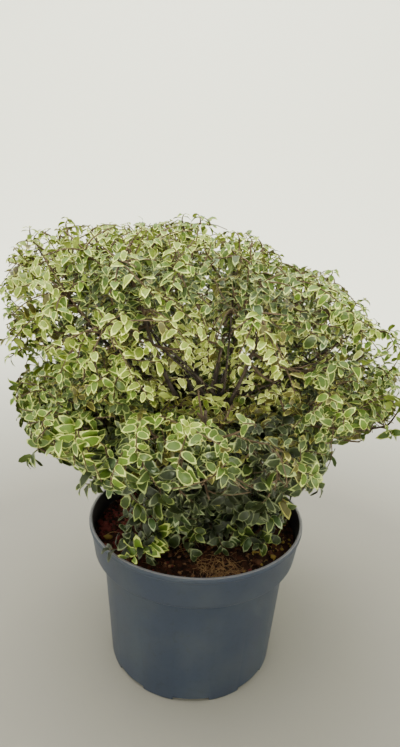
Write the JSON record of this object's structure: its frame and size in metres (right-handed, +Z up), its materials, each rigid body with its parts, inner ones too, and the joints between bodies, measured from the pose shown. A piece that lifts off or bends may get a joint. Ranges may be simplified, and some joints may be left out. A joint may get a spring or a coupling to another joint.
{
  "type": "potted evergreen shrub",
  "caption": "Small dense broad-headed shrub with cream-edged leaves on short boughs, in a round tapering nursery pot with a wider collar and drainage notches, filled with compost.",
  "frame": {"origin": "centre of the pot's flat underside, on the ground it stands on", "axes": "+Z up; -Y towards the side seen in the picture; +X to the right of that side"},
  "size_m": [0.4834, 0.4704, 0.5659],
  "materials": {
    "pot": "moulded blue-grey plastic, slightly satin",
    "soil": "moist dark compost",
    "bark": "smooth dark brown bark",
    "foliage": "grey-green leaves with cream edges"
  },
  "bodies": {
    "root": {"bough_low_back": "bark", "bough_low_front": "bark", "bough_low_front_left": "bark", "bough_low_right": "bark", "bough_shoulder_1": "bark", "bough_shoulder_2": "bark", "bough_shoulder_3": "bark", "bough_shoulder_4": "bark", "bough_shoulder_5": "bark", "bough_shoulder_6": "bark", "bough_skirt_1": "bark", "bough_skirt_2": "bark", "bough_skirt_3": "bark", "bough_skirt_4": "bark", "bough_skirt_5": "bark", "bough_skirt_6": "bark", "bough_skirt_7": "bark", "bough_skirt_8": "bark", "bough_top_left": "bark", "bough_top_right": "bark", "foliage_low_back": "foliage", "foliage_low_front": "foliage", "foliage_low_front_left": "foliage", "foliage_low_right": "foliage", "foliage_shoulder_1": "foliage", "foliage_shoulder_2": "foliage", "foliage_shoulder_3": "foliage", "foliage_shoulder_4": "foliage", "foliage_shoulder_5": "foliage", "foliage_shoulder_6": "foliage", "foliage_skirt_1": "foliage", "foliage_skirt_2": "foliage", "foliage_skirt_3": "foliage", "foliage_skirt_4": "foliage", "foliage_skirt_5": "foliage", "foliage_skirt_6": "foliage", "foliage_skirt_7": "foliage", "foliage_skirt_8": "foliage", "foliage_top_left": "foliage", "foliage_top_right": "foliage", "pot": "pot", "potting_soil": "soil", "trunk": "bark"}
  },
  "joints": []
}
